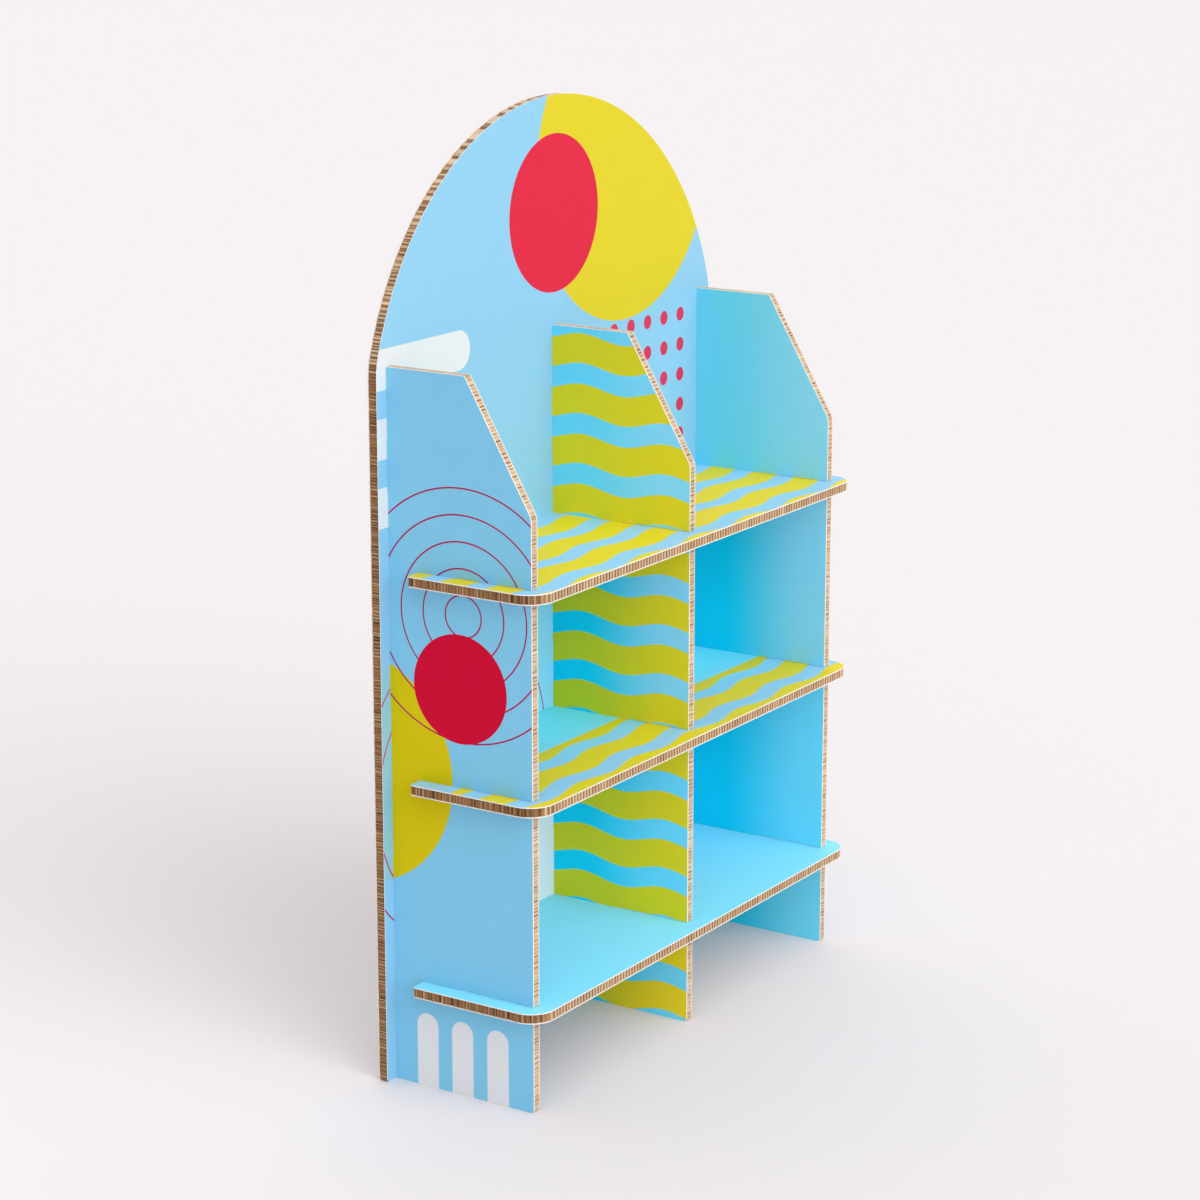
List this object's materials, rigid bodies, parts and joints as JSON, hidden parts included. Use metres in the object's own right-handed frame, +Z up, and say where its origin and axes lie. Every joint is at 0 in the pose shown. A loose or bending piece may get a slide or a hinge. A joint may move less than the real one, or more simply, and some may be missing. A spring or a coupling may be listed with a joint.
{
  "type": "cardboard display stand",
  "caption": "Free-standing cardboard display stand with an arched back panel, sloped uprights and slot-in shelves with rounded corners, for goods on show in a shop.",
  "frame": {"origin": "on the floor, at the middle of the footprint's bounding box", "axes": "+X to the right seen from the front, +Y to the rear, +Z up"},
  "size_m": [0.946, 0.3, 1.466],
  "materials": {
    "printed_board": "matt print on a white paper liner",
    "white_liner": "bare white paper liner",
    "kraft_core": "raw cut edge of a fluted brown paper core"
  },
  "bodies": {
    "root": {"back_panel": "printed_board", "left_side_panel": "printed_board", "centre_divider": "printed_board", "right_side_panel": "printed_board", "lower_shelf": "printed_board", "middle_shelf": "printed_board", "upper_shelf": "printed_board"}
  },
  "joints": []
}
